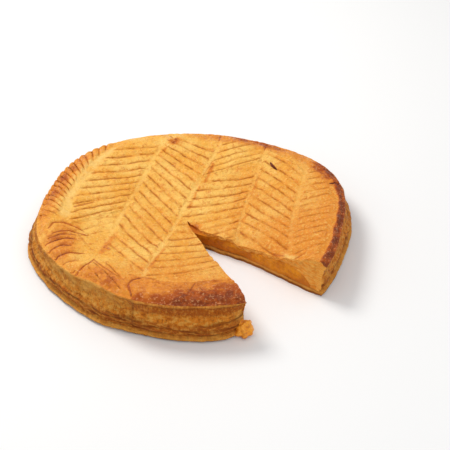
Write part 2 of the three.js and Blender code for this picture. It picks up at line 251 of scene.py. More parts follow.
def scored_lines(x, y):
    """The phase of the scored lines, whole on each line, and how strong they are from 0 to 1."""
    phase, strength = np.full_like(x, 0.5), np.zeros_like(x)
    inside = inside_lip(x, y)
    families = [band_lines(x, y, inside, *band) for band in BANDS]
    families += [family(x, y, inside) for family in (rim_ticks, fan_lines, outer_lines)]
    for k, here in families:
        take = here > strength
        phase, strength = np.where(take, k, phase), np.where(take, here, strength)
    return phase, strength


def band_lines(x, y, inside, left, right, low, high, bow, ends, weight):
    """The lines between two spines."""
    x0, x1 = spine_x(left, y), spine_x(right, y)
    across = (x - x0) / (x1 - x0)
    level = y - bow * 4 * across * (1 - across)
    c0, c1, c2 = (a + (b - a) * across for a, b in zip(low, high))
    c2 = np.where(np.abs(c2) < 1e-5, 1e-5, c2)
    root = np.sqrt(np.clip(c1 * c1 - 4 * c2 * (c0 - level), 0, None))
    k = (root - c1) / (2 * c2)
    clear = smooth(*SPINE_CLEAR[left], x - x0) * smooth(*SPINE_CLEAR[right], x1 - x)
    here = clear * window(ends[0] - 0.1, ends[0], ends[1], ends[1] + 0.1, k) * smooth(9, 13, inside)
    return k, here * weight * (across > 0) * (across < 1)


def rim_ticks(x, y, inside):
    """Short slanted notches over the left rim."""
    radius, angle = polar(x, y)
    turn = turn_from(angle, TICKS_AT)
    slanted = turn - np.degrees(math.tan(math.radians(TICK_SLANT)) * (inside - 5) / radius)
    here = window(TICKS_FROM, TICKS_FROM + 4, TICKS_TO, TICKS_TO + 4, turn)
    gap = spine_x("outer_left", y) - x
    return slanted / TICK_TURN, here * smooth(1.5, 4, gap) * (1 - smooth(17, 20, inside))


def fan_lines(x, y, inside):
    """Slanted lines at the lower left, between two marks on the front rim."""
    k = ((x + 77) * 0.853 + (y + 69) * 0.522) / 7.6
    above = (y + 64) + 0.93 * (x + 76)
    here = smooth(2, 5, x + 84 - 0.25 * (y + 90)) * (1 - smooth(-1, 2, above)) * (1 - smooth(-52, -47, x))
    return k, here * smooth(3, 6, inside) * (y < -60)


def outer_lines(x, y, inside):
    """Soft lines from the outer right spine to the rim."""
    gap = x - spine_x("outer_right", y)
    k = (y - 0.22 * gap + 0.004 * gap**2) / 9.4
    here = smooth(2, 5, gap) * smooth(10, 14, inside) * window(-64, -60, 62, 70, y)
    return k, 0.75 * here


# Single marks: their points, then half width, depth and darkness
MARKS = (
    (((-75, -66), (-81, -77), (-88, -89)), 1.2, 1.6, 1.2),
    (((-89, -84), (-95, -86)), 1.0, 1.2, 1.1),
    (((-76, -67), (-66, -82), (-52, -98)), 1.0, 1.2, 1.0),
    (((-36, -95), (-43, -99), (-45, -108), (-42, -119)), 1.3, 1.8, 1.2),
    (((7, -103), (4, -112), (2, -120)), 0.9, 0.9, 0.9),
    (((10, -108), (15, -118)), 0.8, 0.6, 0.7),
    (((19, -110), (24, -119)), 0.8, 0.6, 0.7),
    (((29, -110), (34, -119)), 0.8, 0.6, 0.6),
    (((71.4, 78), (76.5, 68.3)), 1.4, 2.4, 1.9),
    (((10, 62), (14, 72), (19, 84)), 0.8, 0.5, 0.5),
    (((25, 111), (27, 126)), 1.0, 0.9, 0.9),
    (((66, 94), (71, 113)), 1.0, 0.9, 0.9),
    (((-17, 113), (-20, 122)), 1.2, 0.8, 0.7),
    (((122, 39), (130, 41)), 1.8, 2.0, 1.9),
    (((-98, 6), (-82, 18)), 1.3, 0.9, 0.9),
    (((-116, -28), (-113, -20), (-105, -17), (-97, -19), (-88, -23)), 1.4, 1.9, 1.1),
    (((-112, -35), (-106, -30.6), (-99, -27.5), (-83, -29.6)), 1.4, 1.7, 1.2),
    (((-115, -41), (-108, -37), (-101, -34), (-93, -33.5)), 1.3, 1.4, 1.1),
    (((-116.5, -47), (-109, -44), (-100, -39.8), (-92, -38.8)), 1.4, 1.7, 1.2),
    (((-113.5, -57), (-104, -52), (-95, -50)), 1.3, 1.4, 1.1),
    (((-107, -66), (-99, -62), (-91, -60), (-84, -58)), 1.4, 1.6, 1.2),
    (((-100, -73.5), (-94, -71.4), (-87, -69.5)), 1.1, 1.3, 0.8),
    (((-89, -89), (-86, -85)), 1.0, 0.9, 0.9),
    (((-92, -30), (-84, -42), (-79, -50)), 0.9, 0.6, 0.4),
    (((70, -47), (74, -50), (79, -54)), 1.2, 1.0, 0.9),
    (((83, -62), (90, -61), (96, -59)), 0.9, 0.8, 0.7),
)
# The long groove behind the glazed front: how far out, and from where to where in degrees
FRONT_ARC_RADIUS, FRONT_ARC_FROM, FRONT_ARC_TO = 99, -119, -72
FRONT_ARC_HALF, FRONT_ARC_DEPTH, FRONT_ARC_TONE = 1.3, 0.9, 0.8


def from_line(x, y, line):
    """How far points lie from a line of several stretches, and the share of the way along it."""
    lengths = np.hypot(*np.diff(line, axis=0).T)
    away, share = np.full_like(x, 1e6), np.zeros_like(x)
    before = 0.0
    for start, end, length in zip(line, line[1:], lengths):
        run = end - start
        t = np.clip(((x - start[0]) * run[0] + (y - start[1]) * run[1]) / length**2, 0, 1)
        off = np.hypot(x - start[0] - run[0] * t, y - start[1] - run[1] * t)
        share = np.where(off < away, (before + t * length) / lengths.sum(), share)
        away = np.minimum(away, off)
        before += length
    return away, share


def marks(x, y):
    """How deep the single marks are, how near their middles a point lies, and how dark they are."""
    depth, near, tone = np.zeros_like(x), np.full_like(x, -1.0), np.zeros_like(x)
    for line, half, deep, dark in MARKS:
        away, along = from_line(x, y, np.array(line, float))
        taper = 0.35 + 0.65 * np.sin(math.pi * np.clip(along * 0.9 + 0.05, 0, 1))
        depth = np.maximum(depth, deep * taper * bump(away, 0, half * 1.1))
        closeness = 1 - away / (half * (0.35 + 0.45 * taper))
        tone = np.where(closeness > near, dark, tone)
        near = np.maximum(near, closeness)
    radius, turn = np.hypot(x, y), np.degrees(np.arctan2(y, x))
    wander = FRONT_ARC_RADIUS + 1.2 * np.sin(turn / 4.0)
    along = window(FRONT_ARC_FROM, FRONT_ARC_FROM + 4, FRONT_ARC_TO - 4, FRONT_ARC_TO, turn)
    depth = np.maximum(depth, FRONT_ARC_DEPTH * along * bump(radius, wander, FRONT_ARC_HALF))
    closeness = along - np.abs(radius - wander) / FRONT_ARC_HALF
    tone = np.where(closeness > near, FRONT_ARC_TONE, tone)
    return depth, np.clip(np.maximum(near, closeness), -1, 1), tone


FLAKE = np.array([[79.0, -53.0], [86.0, -60.0]])  # a pale, lifted leaf at the far cut
# Pale strips along the spines: how wide, where each begins at the front, and how pale
SPINE_STRIPS = (
    ("outer_left", 4.4, -8, 1.0),
    ("left", 1.4, -48, 0.4),
    ("middle", 1.3, -92, 0.5),
    ("right", 1.0, -26, 0.22),
    ("outer_right", 1.0, -56, 0.2),
)


def spine_strength(x, y):
    """The pale strips, from 0 to 1."""
    inside = inside_lip(x, y)
    total = np.zeros_like(x)
    for name, width, low, pale in SPINE_STRIPS:
        off = np.abs(x - spine_x(name, y) + 0.8 * noise(x, y, 9, 31))
        ragged = width * (1 + 0.35 * noise(x, y, 6, 32))
        strip = (1 - smooth(ragged * 0.5, ragged * 1.8, off)) * smooth(low - 6, low + 6, y)
        total = np.maximum(total, pale * strip)
    flake = bump(from_line(x, y, FLAKE)[0], 0, 2.0 + noise(x, y, 3, 34))
    return np.maximum(total * smooth(8, 14, inside), flake)


def lid_relief(x, y):
    """What the pattern and the puffing add to the dish, in millimetres."""
    phase, strength = scored_lines(x, y)
    off = np.abs((phase + phase_wobble(x, y) + 0.5) % 1 - 0.5)
    variation = 0.8 + 0.3 * noise(x, y, 11, 8)
    groove = strength * variation * (1 - smooth(0.02, 0.2, off))
    pillow = strength * np.sqrt(np.clip(off * 2, 0, 1))
    depth = marks(x, y)[0]
    radius, angle = polar(x, y)
    inside = lip_radius(angle) - radius
    notched = strength * (turn_from(angle, TICKS_AT) > TICKS_FROM) * (x < spine_x("outer_left", y))
    puff = 0.9 * noise(x, y, 26, 11) + 0.5 * noise(x, y, 9, 12)
    flakes = 0.28 * noise(x, y, 3.2, 13) + 0.18 * noise(x, y, 1.7, 14)
    lumps = 0.7 * bump(inside, 9, 6) * noise(angle * TOP_ARC, inside * 0.6, 13, 15)
    arc = angle * GLAZE_ARC
    glaze = 0.7 * noise(arc * 0.5, radius, 4.0, 16) + 0.4 * noise(arc, radius, 2.4, 17)
    glaze = front_zone(x, y) * glaze
    fade = smooth(0.5, 4, inside)
    fold = 2.4 * bump(x, -101, 13) * bump(y, -46, 24)
    ledge = 1.2 * smooth(0, 2.2, radius - FRONT_ARC_RADIUS) * front_zone(x, y)
    roll = 1.3 * rim_strip(angle, inside) * bump(inside, 4.4, 3.4)
    raised = fade * (puff + lumps + fold + glaze + ledge) + roll + flakes
    scored = (0.75 + 0.6 * notched) * pillow - 0.75 * groove
    return raised + scored - depth * smooth(0, 2, inside)


def phase_wobble(x, y):
    """How far the scored lines stray from their places."""
    return 0.04 * noise(x, y, 8, 5) + 0.02 * noise(x, y, 3, 6)


def front_zone(x, y):
    """The glazed band between the front's long groove and the lip."""
    radius, turn = np.hypot(x, y), np.degrees(np.arctan2(y, x))
    starts = -116.5 + 0.24 * (radius - FRONT_ARC_RADIUS)
    return smooth(-2, 2, radius - FRONT_ARC_RADIUS) * smooth(-1.5, 1.5, turn - starts) * (turn < -50)


def rim_strip(angle, inside):
    """The browned roll along the right rim."""
    turn = turn_from(angle, 0)
    along = window(-46, -40, 28, 40, turn)
    inner = 6.6 + 1.4 * line_noise(angle * TOP_ARC, 9, 33)
    return along * (1 - smooth(inner - 1.2, inner + 1.4, inside))


# Browned stains beside the spines: their ends, how far they spread and how brown they are
STAINS = (
    (((13, 56), (20, 80)), 1.7, 0.42),
    (((-1, 20), (8, 49)), 1.3, 0.3),
    (((-31, -78), (-20, -43)), 1.8, 0.36),
    (((-28, 93), (-23, 101)), 1.4, 0.36),
    (((-71, -56), (-63, -29)), 3.2, 0.36),
    (((-69, -46), (-65, -48)), 1.6, 0.6),
    (((-18, 108), (-13, 112)), 3.4, 0.5),
    (((45, -1), (50, 9)), 1.4, 0.36),
    (((56, 43), (59, 56)), 1.4, 0.3),
)


def stained(x, y):
    """The browned stains, from 0 to 1."""
    total = np.zeros_like(x)
    for line, spread, brown in STAINS:
        away = from_line(x, y, np.array(line, float))[0]
        total = np.maximum(total, brown * bump(away + 0.8 * noise(x, y, 5, 27), 0, spread))
    return total


def browning(x, y):
    """How far the glaze has browned, from 0 to 1."""
    radius, angle = polar(x, y)
    inside = lip_radius(angle) - radius
    turn = np.degrees(angle)
    arc = angle * TOP_ARC
    ragged = 1 + 0.25 * noise(arc, radius, 9, 21) + 0.2 * noise(arc, radius, 4, 22)
    strip = 0.86 * rim_strip(angle, inside) * (1 + 0.12 * noise(arc, radius, 5, 24))
    corner = 0.78 * bump(turn_from(angle, 26), 0, 9) * (1 - smooth(9, 17, inside)) * ragged
    deep = smooth(-108, -86, turn)
    towards_lip = 1 - smooth(1.5, 12 + 12 * deep, inside + 3 * noise(arc, radius, 7, 25))
    front = front_zone(x, y) * (0.34 + 0.09 * deep + (0.30 + 0.42 * deep) * towards_lip)
    front = front * (1 + 0.16 * noise(arc * 0.6, radius, 4, 26))
    lower_left = 0.44 * bump(turn, -122, 14) * bump(inside, 7, 15)
    back = 0.54 * bump(turn_from(angle, 62), 0, 27) * bump(inside, 5, 9)
    left = 0.5 * bump(turn_from(angle, 160), 0, 32) * bump(inside, 6, 8)
    fold = 0.5 * bump(x, -104, 13) * bump(y, -46, 25)
    torn = 0.55 * bump(np.hypot(x - 5, y + 4), 0, 6)
    patches = np.maximum.reduce([lower_left, back, left, fold, torn, stained(x, y)]) * ragged
    return np.clip(np.maximum.reduce([strip, corner, front, patches]), 0, 1)


def warmth(x, y):
    """The broad deepening of the gold towards the right, the front and the rim."""
    inside = inside_lip(x, y)
    slope = 0.30 + 0.0032 * x - 0.0030 * y
    return np.clip(slope + 0.25 * bump(inside, 0, 16) + 0.12 * noise(x, y, 30, 23), 0, 1)


def far_line(start, rough, seed):
    """The far cut from its tip to past the rim, as a function of the way along it, and its length."""
    line = np.array([*start, FAR_BEND, FAR_END + 0.25 * (FAR_END - FAR_BEND)])
    along = np.concatenate([[0], np.cumsum(np.hypot(*np.diff(line, axis=0).T))])

    def at(distance):
        x, y = (np.interp(distance, along, values) for values in line.T)
        jag = rough * layered_noise(distance, 0 * distance, 7, seed) * smooth(0, 5, distance)
        return np.stack([x + 0.5 * jag, y + jag], -1)

    return at, along[-1]


def rim_point(start, end, outline):
    """Where a straight line from inside crosses an outline, as the angle there."""
    path = start + np.linspace(0, 1.4, 2000)[:, None] * (end - start)
    radius, angle = polar(*path.T)
    return angle[np.argmax(radius > outline(angle))]


NEAR_WAY = direction(math.radians(NEAR_CUT))


class CutRound:
    """A round layer with a wedge cut out, as points and triangles."""

    def __init__(self, start, outlines, heights, wall, rough, seed, spacings, rows):
        self.tip = start[0]
        self.outline, self.foot = outlines
        self.top, self.bottom = heights
        self.wall, self.rough, self.seed, self.rows = wall, rough, seed, rows
        self.spacing, self.under_spacing = spacings
        self.points, self.faces, self.kind = [], [], []
        self.count = 0
        far_angle = rim_point(FAR_BEND, FAR_END, self.outline)
        near_angle = rim_point(self.tip, 200 * NEAR_WAY, self.outline)
        self.angles = (far_angle, near_angle + 2 * math.pi)
        self.size = float(np.mean(self.outline(np.linspace(0, 2 * math.pi, 60))))
        self.shares = np.linspace(0, 1, int(self.size / self.spacing) + 1)
        self.rim_count = int(self.size * 2 * math.pi * 0.9 / (self.spacing * 1.05))
        self.far_at, far_length = far_line(start, rough, seed)
        self.far_rim = self.edge_point(np.array(0.0), self.outline)
        along = np.linspace(0, far_length, 3000)
        self.far_reach = along[np.argmin(np.hypot(*(self.far_at(along) - self.far_rim).T))]
        self.build()

    def angle_at(self, u):
        return self.angles[0] + u * (self.angles[1] - self.angles[0])

    def edge_point(self, u, outline):
        """Where an outline passes at a share of the way round from the far cut."""
        angle = self.angle_at(u)
        return outline(angle)[..., None] * direction(angle)

    def plan(self, share, u, outline):
        """The place seen from above, at a share of the way out and a share of the way round."""
        straight = self.tip + share * (self.edge_point(u, outline) - self.tip)
        if share == 1:
            return straight
        far_off = self.far_at(share * self.far_reach) - self.tip - share * (self.far_rim - self.tip)
        jag = layered_noise(share * self.size, 3.0, 6, self.seed + 7)
        near_off = 0.6 * self.rough * jag * np.array([1, 0.4]) * smooth(0.02, 0.06, share)
        whole = share * self.size * 2 * math.pi
        far_weight = bump(u * whole, 0, FAR_SPREAD)[:, None]
        near_weight = bump((1 - u) * whole, 0, NEAR_SPREAD)[:, None]
        return straight + far_weight * far_off + near_weight * near_off

    def add(self, xyz):
        """Keeps new points, and returns their numbers."""
        xyz = np.atleast_2d(xyz)
        index = np.arange(self.count, self.count + len(xyz))
        self.points.append(xyz)
        self.count += len(xyz)
        return index

    def keep(self, faces, kind):
        self.faces.append(faces)
        self.kind.append(np.full(len(faces), kind))

    def quad_strip(self, a, b, kind):
        """Faces between two rows of the same length, seen with row a on the left going away."""
        self.keep(np.stack([a[:-1], b[:-1], b[1:]], 1), kind)
        self.keep(np.stack([a[:-1], b[1:], a[1:]], 1), kind)

    def zip_rows(self, inner, outer, kind, flip):
        """Faces between two rows of different lengths that run the same way."""
        i = j = 0
        out = []
        n, m = len(inner) - 1, len(outer) - 1
        while i < n or j < m:
            if j >= m or (i < n and (i + 1) / max(n, 1) <= (j + 1) / m):
                out.append((inner[i], outer[j], inner[i + 1]))
                i += 1
            else:
                out.append((inner[i], outer[j], outer[j + 1]))
                j += 1
        self.keep(np.array(out)[:, [0, 2, 1] if flip else [0, 1, 2]], kind)

    def surface(self, outline, height, spacing, flip, kind):
        """All rings of an upper or lower face, from the tip's own point out."""
        rings = [self.add([*self.tip, float(height(self.tip[:1], self.tip[1:])[0])])]
        for share in self.shares[1:]:
            count = max(2, int(share * self.size * 2 * math.pi * 0.9 / spacing))
            if share == self.shares[-1]:
                count = self.rim_count
            u = np.linspace(0, 1, count + 1)
            xy = self.plan(share, u, outline)
            z = height(xy[:, 0], xy[:, 1])
            rings.append(self.add(np.column_stack([xy, z])))
        for inner, outer in zip(rings, rings[1:]):
            self.zip_rows(inner, outer, kind, flip)
        return rings

    def build(self):
        """The upper and lower faces, the side between them, then both faces of the cut."""
        top = self.surface(self.outline, self.top, self.spacing, False, TOP)
        under = self.surface(self.foot, self.bottom, self.under_spacing, True, CUT)
        angle = self.angle_at(np.linspace(0, 1, self.rim_count + 1))
        lip = self.points[len(self.shares) - 1][:, 2]
        rows = [top[-1]]
        for t in np.linspace(0, 1, self.rows + 1)[1:-1]:
            radius, height = self.wall(angle, t, lip)
            rows.append(self.add(np.column_stack([radius[:, None] * direction(angle), height])))
        rows.append(under[-1])
        for a, b in zip(rows, rows[1:]):
            self.quad_strip(a, b, SIDE)
        made = np.concatenate(self.points)
        first = self.cut_columns(top, under, rows, made, 0, [])
        last = self.cut_columns(top, under, rows, made, -1, first[:1])
        for a, b in zip(first, first[1:]):
            self.quad_strip(a, b, CUT)
        for a, b in zip(last, last[1:]):
            self.quad_strip(b, a, CUT)

    def cut_columns(self, top, under, rows, made, end, columns):
        """The columns of points down one face of the cut, after any given ones at the tip."""
        down = np.linspace(0, 1, self.rows + 1)[1:-1, None]
        for i in range(len(columns), len(self.shares) - 1):
            a, b = made[top[i][end]], made[under[i][end]]
            path = a + down * (b - a)
            out = self.face_normal(end) * self.crumbs(i, path[:, 2], end)[:, None]
            columns.append(np.concatenate([[top[i][end]], self.add(path + out), [under[i][end]]]))
        columns.append(np.array([row[end] for row in rows]))
        return columns

    def face_normal(self, end):
        """The way out of a face of the cut, the far one for end 0 and the near one for end -1."""
        if end == 0:
            run = FAR_END - self.tip
            return np.array([run[1], -run[0], 0]) / np.hypot(*run)
        return np.array([-NEAR_WAY[1], NEAR_WAY[0], 0])

    def crumbs(self, i, z, end):
        """How far the torn face stands out, down one column."""
        along = np.full_like(z, self.shares[i] * self.size)
        seed = self.seed + (31 if end else 47)
        fade = window(0, 3, self.size - 4, self.size, along)
        layers = 0.5 * noise(along * 0.35, z, 1.3, seed) + 0.5 * noise(along, z, 2.6, seed + 1)
        return self.rough * 0.9 * fade * layers

    def arrays(self):
        return np.concatenate(self.points), np.concatenate(self.faces), np.concatenate(self.kind)


# Folds round the side: mean height, how far and over what length they wander, how rare they are,
# and a seed
SIDE_CREASES = ((7.6, 0.7, 18, -0.4, 81), (12.2, 1.4, 24, -1.2, 83), (16.5, 2.4, 34, -0.2, 85))


def side_creases(arc, height):
    """The wavy horizontal folds round the side, from 0 to 1 at their bottoms."""
    total = 0 * arc
    for at, swing, size, least, seed in SIDE_CREASES:
        middle = at + swing * line_noise(arc, size, seed)
        there = smooth(least, least + 0.6, noise(arc, 0 * arc + 9, size * 0.9, seed + 1))
        total = np.maximum(total, there * bump(height, middle, 0.85))
    return total


def lid_wall(angle, t, lip):
    """The lid's side at a share t of the way down, as radius and height."""
    share = 1 - t
    turn = turn_from(angle, SEAM_AT)
    step = SEAM_STEP * window(-1.2, 1.2, 30, 48, turn)
    belly = WALL_BELLY * bump(share, 0.28, 0.2) - WALL_WAIST * bump(share, 0.72, 0.2)
    ridge = 0.6 * bump(share, 0.97, 0.02) - 1.0 * bump(share, 0.0, 0.06)
    arc = angle * SIDE_ARC
    height = LID_FOOT + (lip - LID_FOOT) * share
    bulge = 0.7 * noise(arc * 0.5, height, 9, 60) + 0.5 * noise(arc, height, 4.5, 64)
    layers = 0.6 * noise(arc * 0.2, height, 2.2, 61) * (1 - smooth(0.5, 0.8, share))
    layers = layers + 0.35 * noise(arc * 0.6, height, 1.8, 62)
    fibres = 0.35 * noise(arc, height * 0.3, 2.2, 63) * smooth(0.3, 0.6, share)
    flakes = wave(FLAKE_WAVES, angle + 0.9 * share)
    blend = smooth(0, 0.06, t)
    foot_at = foot_radius(angle)
    lean = foot_at + (lip_radius(angle) - foot_at) * np.clip(share, 0, 1) ** WALL_LEAN
    radius = lean + (step + flakes + belly) * blend + ridge - near_cut_hollow(angle, share)
    rough = bulge + layers + fibres - 1.1 * side_creases(arc, height)
    return radius + rough * blend * smooth(0, 0.08, share), height


def near_cut_hollow(angle, share):
    """The side is eaten away a little beside the near cut, below its middle."""
    from_cut = -turn_from(angle, NEAR_CUT)
    beside = bump(from_cut, 0, HOLLOW_SPREAD) * (from_cut >= -0.5)
    return HOLLOW_DEPTH * beside * bump(share, 0.5, 0.22)


def lid_upper(x, y):
    """The lid's top, with the crease inside its lip."""
    inside = inside_lip(x, y)
    crease = -LIP_HEIGHT * bump(inside, CREASE_INSET, 1.1)
    height = dish_height(x, y) + lid_relief(x, y) + crease
    over = np.clip(height - CEILING, 0, None)
    return height - over + CEILING_ROOM * (1 - np.exp(-over / CEILING_ROOM))


def lid_under(x, y):
    radius, angle = polar(x, y)
    past = radius > filling_outline(angle)
    return np.where(past, LID_FOOT, np.maximum(filling_top(x, y) + GAP, LID_FOOT))


def filling_upper(x, y):
    return np.maximum(filling_top(x, y) + CLOSING, LID_FOOT + LEAST_FILLING)


def filling_outline(angle):
    return lid_outline(angle) - FILLING_INSET


def filling_wall(angle, t, top):
    return filling_outline(angle), top + (LID_FOOT - top) * t


def flat_foot(x, y):
    return np.full_like(x, LID_FOOT - CLOSING)


def base_upper(x, y):
    radius, angle = polar(x, y)
    edge, wall = base_radius(angle), foot_radius(angle)
    curl = base_curl(angle) + BASE_THICK
    out = smooth(wall - 2, edge - 0.5, radius)
    ripple = 0.35 * noise(angle * BASE_ARC, radius, 3, 71) * smooth(wall - 2, wall, radius)
    return BASE_TOP + (curl - 0.6 - BASE_TOP) * out + ripple


def base_curl(angle):
    """How high the base's edge is lifted off the table."""
    arc = angle * BASE_ARC
    return BASE_LIFT + 0.5 * line_noise(arc, 16, 72) + 0.25 * line_noise(arc, 5, 73)


def base_under(x, y):
    radius, angle = polar(x, y)
    edge = base_radius(angle)
    return base_curl(angle) * smooth(edge - BASE_FLAT_INSET, edge, radius)


def base_edge(angle):
    arc = angle * BASE_ARC
    return base_radius(angle) + 0.45 * line_noise(arc, 7, 74) + 0.25 * line_noise(arc, 2.6, 75)


def base_wall(angle, t, top):
    low = base_curl(angle)
    height = top + (low - top) * t
    layers = 0.5 * np.sin(math.pi * t) + 0.25 * noise(0.3 * angle * BASE_ARC, height, 0.7, 76)
    return base_edge(angle) + layers, height


def new_object(name, data):
    """An object in the scene that holds a mesh, a lamp or a camera."""
    made = bpy.data.objects.new(name, data)
    bpy.context.scene.collection.objects.link(made)
    return made


def make_piece(name, arrays, node, materials, attributes):
    """A mesh object with one material for each kind of face and its attributes on the points."""
    points, faces, kind = arrays
    mesh = bpy.data.meshes.new(name)
    mesh.from_pydata(((points + SHIFT) * MM).tolist(), [], faces.tolist())
    for material in materials:
        mesh.materials.append(material)
    mesh.polygons.foreach_set("material_index", np.minimum(kind, len(materials) - 1))
    mesh.validate()
    mesh.polygons.foreach_set("use_smooth", np.ones(len(mesh.polygons), dtype=bool))
    mesh.set_sharp_from_angle(angle=SHARP_TURN)
    for key, values in attributes.items():
        stored = mesh.attributes.new(key, "FLOAT", "POINT")
        stored.data.foreach_set("value", np.asarray(values(points), dtype=np.float32))
    piece = new_object(name, mesh)
    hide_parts(node)
    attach(piece, "root")


class Nodes:
    """Short ways to add shader nodes to one material."""

    def __init__(self, name):
        self.material = bpy.data.materials.new(name)
        self.material.use_nodes = True
        self.tree = self.material.node_tree
        self.shader = self.tree.nodes["Principled BSDF"]

    def new(self, kind):
        return self.tree.nodes.new("ShaderNode" + kind)

    def link(self, value, socket):
        """Feeds a socket from another one, or sets it to a colour or a number."""
        if isinstance(value, bpy.types.NodeSocket):
            self.tree.links.new(value, socket)
        elif isinstance(value, tuple):
            socket.default_value = (*value, 1.0)
        else:
            socket.default_value = value

    def feed(self, node, sockets, output=0):
        """Feeds sockets given by their names or numbers, and returns an output."""
        for key, value in sockets.items():
            self.link(value, node.inputs[key])
        return node.outputs[output]

    def attribute(self, name):
        node = self.new("Attribute")
        node.attribute_type = "GEOMETRY"
        node.attribute_name = name
        return node.outputs["Fac"]

    def vector(self, x, y, z):
        return self.feed(self.new("CombineXYZ"), {0: x, 1: y, 2: z})

    def noise(self, scale, detail=4.0, roughness=0.55, where=None, distortion=0.0):
        node = self.new("TexNoise")
        if where is None:
            where = self.new("TexCoord").outputs["Object"]
        sockets = {"Vector": where, "Scale": scale, "Detail": detail, "Roughness": roughness}
        return self.feed(node, {**sockets, "Distortion": distortion}, "Fac")

    def math(self, kind, a, b=0.0, clamp=False):
        node = self.new("Math")
        node.operation = kind
        node.use_clamp = clamp
        return self.feed(node, {0: a, 1: b})

    def times(self, a, b, clamp=False):
        return self.math("MULTIPLY", a, b, clamp)

    def ramp(self, value, low, high, to_low=0.0, to_high=1.0):
        node = self.new("MapRange")
        node.interpolation_type = "SMOOTHSTEP"
        return self.feed(node, {0: value, 1: low, 2: high, 3: to_low, 4: to_high})

    def mix(self, share, a, b):
        node = self.new("Mix")
        node.data_type = "RGBA"
        return self.feed(node, {0: share, 6: a, 7: b}, 2)

    def cover(self, colour, *layers):
        """A colour with others laid over it: each has a value, its range, two shares and a colour."""
        for value, low, high, share, then, other in layers:
            colour = self.mix(self.ramp(value, low, high, share, then), colour, other)
        return colour

    def dress(self, colour, roughness, sheen, grain=None, depth=0.0016, strength=0.8):
        """Feeds the shader, with a fine bump where a grain is given, and returns the material."""
        self.feed(self.shader, {"Base Color": colour, "Roughness": roughness, "Specular IOR Level": sheen})
        if grain is not None:
            node = self.new("Bump")
            relief = self.feed(node, {"Distance": depth, "Strength": strength, "Height": grain})
            self.link(relief, self.shader.inputs["Normal"])
        return self.material


# Colours, as linear red, green and blue
GOLD = (0.88, 0.405, 0.048)
PALE_GOLD = (0.94, 0.55, 0.12)
PALE_STRIP = (0.94, 0.57, 0.155)
DEEP_GOLD = (0.80, 0.275, 0.022)
ORANGE = (0.66, 0.185, 0.014)
CARAMEL = (0.50, 0.110, 0.008)
BRICK = (0.39, 0.072, 0.006)
DARK = (0.14, 0.022, 0.006)
LINE_DARK = (0.26, 0.045, 0.006)
# painted highlight: the colour of the glints painted on the browned glaze
PAINTED_GLINT = (0.95, 0.50, 0.22)
SIDE_TAN = (0.77, 0.290, 0.030)
SIDE_GOLD = (0.84, 0.265, 0.020)
SIDE_BROWN = (0.48, 0.115, 0.009)
SIDE_DARK = (0.20, 0.045, 0.006)
CREAM = (0.93, 0.47, 0.09)
KHAKI = (0.92, 0.50, 0.11)
FILLING_LIGHT = (0.86, 0.32, 0.012)
FILLING_DARK = (0.56, 0.150, 0.005)
LUMP_LIGHT = (0.96, 0.37, 0.015)
EDGE_TAN = (0.92, 0.44, 0.08)
BASE_TAN = (0.93, 0.40, 0.06)
BASE_GOLD = (0.88, 0.28, 0.022)


def glazed_top():
    """The egg-glazed lid: gold that deepens to orange, brown and brick red, with painted glints."""
    n = Nodes("glazed_pastry")
    brown = n.attribute("brown")
    mottle = n.noise(34, 5, 0.6)
    fine = n.noise(240, 5, 0.68, distortion=0.7)
    speck = n.noise(560, 3, 0.6)
    colour = n.mix(n.ramp(mottle, 0.38, 0.64), GOLD, PALE_GOLD)
    warm = n.math("SUBTRACT", n.attribute("warm"), n.times(mottle, 0.5))
    colour = n.cover(
        colour,
        (warm, -0.1, 0.5, 0.0, 1.0, DEEP_GOLD),
        (fine, 0.5, 0.66, 0.0, 0.7, ORANGE),
        # pale specks: partly flaky texture, partly painted glints of the glaze
        (speck, 0.52, 0.64, 0.0, 0.7, PALE_GOLD),
    )
    pale = n.times(n.attribute("spine"), n.ramp(n.noise(110, 4), 0.38, 0.58, 0.25, 1.0))
    colour = n.mix(pale, colour, PALE_STRIP)
    colour = toasted(n, colour, fine, mottle)
    line = scored_mask(n)
    line_colour = n.mix(n.ramp(brown, 0.2, 0.5), CARAMEL, LINE_DARK)
    beside = n.times(n.attribute("shade"), n.ramp(fine, 0.35, 0.65, 0.15, 0.6))
    beside = n.times(beside, n.ramp(brown, 0.15, 0.35, 1.0, 0.0))
    colour = n.mix(beside, colour, DEEP_GOLD)
    colour = n.mix(n.times(line, 0.75), colour, line_colour)
    mark = n.times(n.ramp(n.attribute("near_mark"), -0.3, 0.4), n.attribute("mark_tone"))
    colour = n.mix(n.times(mark, 0.8, clamp=True), colour, line_colour)
    colour = n.mix(n.ramp(mark, 1.1, 1.6), colour, DARK)
    # painted highlights: pale glints laid into the colour where the glaze has browned
    painted_glints = n.times(n.ramp(speck, 0.55, 0.66), n.ramp(brown, 0.2, 0.5, 0.0, 0.4))
    colour = n.mix(painted_glints, colour, PAINTED_GLINT)
    roughness = n.ramp(n.noise(170, 4), 0.4, 0.62, 0.2, 0.55)
    height = n.math("ADD", n.times(fine, 1.1), n.times(speck, 0.6))
    height = n.math("SUBTRACT", height, n.times(line, 0.5))
    return n.dress(colour, roughness, n.ramp(brown, 0.3, 0.6, 0.22, 0.14), height, 0.0015, 0.9)


def toasted(n, colour, fine, mottle):
    """A colour browned by the amount that the points carry."""
    ragged = n.ramp(n.noise(150, 4), 0.35, 0.62, 0.78, 1.15)
    brown = n.times(n.attribute("brown"), ragged, clamp=True)
    first = n.mix(n.ramp(fine, 0.44, 0.6), DEEP_GOLD, ORANGE)
    colour = n.mix(n.ramp(brown, 0.04, 0.32, 0.0, 0.9), colour, first)
    second = n.mix(n.ramp(mottle, 0.4, 0.6), CARAMEL, BRICK)
    return n.cover(
        colour,
        (brown, 0.3, 0.66, 0.0, 1.0, second),
        (brown, 0.62, 0.85, 0.0, 0.75, BRICK),
        (brown, 0.72, 0.95, 0.0, 0.65, DARK),
    )


